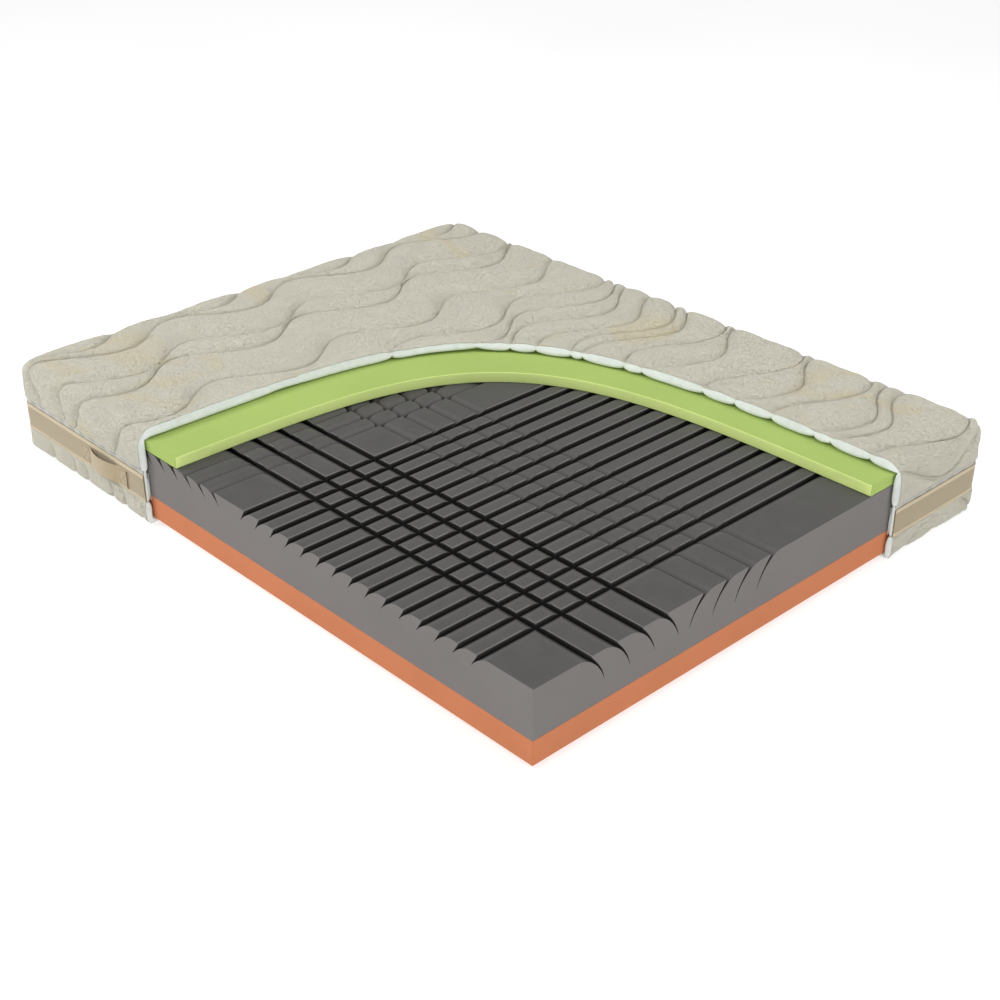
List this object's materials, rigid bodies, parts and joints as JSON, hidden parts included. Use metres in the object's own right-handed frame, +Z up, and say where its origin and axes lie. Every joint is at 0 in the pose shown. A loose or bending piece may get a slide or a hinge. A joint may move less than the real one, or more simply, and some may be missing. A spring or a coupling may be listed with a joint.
{
  "type": "memory foam mattress",
  "caption": "Foam mattress with a zip-off quilted cover, cut back at one corner to show its foam base, slotted core and memory foam layer.",
  "frame": {"origin": "on the floor, under the middle of the covered mattress", "axes": "+X along the length towards the cut-back end, +Y across the width away from the cut-back side, +Z up"},
  "size_m": [2, 1.6408, 0.262],
  "materials": {
    "base_foam": "firm open-cell polyurethane foam, orange, cut face",
    "core_foam": "cold-cured polyurethane foam, dark grey, cut face",
    "comfort_foam": "viscoelastic foam, light green, cut face",
    "ticking": "knitted stretch ticking, cream, quilted in waves",
    "wadding": "polyester fibre wadding, white",
    "backing": "thin non-woven backing, white",
    "zip_tape": "woven polyester zip tape, white",
    "zip_coil": "nylon coil, pale grey",
    "zip_metal": "die-cast zinc, pale lacquer",
    "binding": "woven edge tape, light tan, twin stitched",
    "band_mesh": "3-D spacer mesh, tan",
    "webbing": "woven handle tape, light tan, box stitched",
    "bartack_thread": "dense polyester thread, dark brown"
  },
  "bodies": {
    "root": {"base_foam": "base_foam", "core_foam": "core_foam", "comfort_foam": "comfort_foam", "top_ticking": "ticking", "top_wadding": "wadding", "top_backing": "backing", "zip_upper_tape": "zip_tape", "zip_upper_coil": "zip_coil", "zip_lower_coil": "zip_coil", "zip_lower_tape": "zip_tape", "zip_stops": "zip_metal", "band_upper_tape": "binding", "band_mesh": "band_mesh", "band_lower_tape": "binding", "band_wadding": "wadding", "band_backing": "backing", "lower_ticking": "ticking", "lower_wadding": "wadding", "lower_backing": "backing", "bottom_ticking": "ticking", "bottom_wadding": "wadding", "bottom_backing": "backing", "handle_front_ends": "webbing", "handle_front_bartack": "bartack_thread", "handle_left_ends": "webbing", "handle_left_bartack": "bartack_thread", "handle_right_ends": "webbing", "handle_right_bartack": "bartack_thread"},
    "slider": {"zip_slider": "zip_metal"},
    "pull": {"zip_pull": "zip_metal"},
    "front_strap": {"handle_front_strap": "webbing"},
    "left_strap": {"handle_left_strap": "webbing"},
    "right_strap": {"handle_right_strap": "webbing"}
  },
  "joints": [
    {"name": "zip_slide", "type": "slide", "parent": "root", "child": "slider", "axis": [-1, 0, 0], "range_m": [0, 1.85]},
    {"name": "pull_hinge", "type": "hinge", "parent": "slider", "child": "pull", "pos_m": [0.925, 0.797, 0.1455], "axis": [0, 0, -1], "range_deg": [0, 180]},
    {"name": "front_strap_swing", "type": "hinge", "parent": "root", "child": "front_strap", "pos_m": [-0.578, -0.796, 0.0985], "axis": [-1, 0, 0], "range_deg": [0, 20]},
    {"name": "left_strap_swing", "type": "hinge", "parent": "root", "child": "left_strap", "pos_m": [-0.578, 0.796, 0.0985], "axis": [1, 0, 0], "range_deg": [0, 20]},
    {"name": "right_strap_swing", "type": "hinge", "parent": "root", "child": "right_strap", "pos_m": [0.578, 0.796, 0.0985], "axis": [1, 0, 0], "range_deg": [0, 20]}
  ]
}
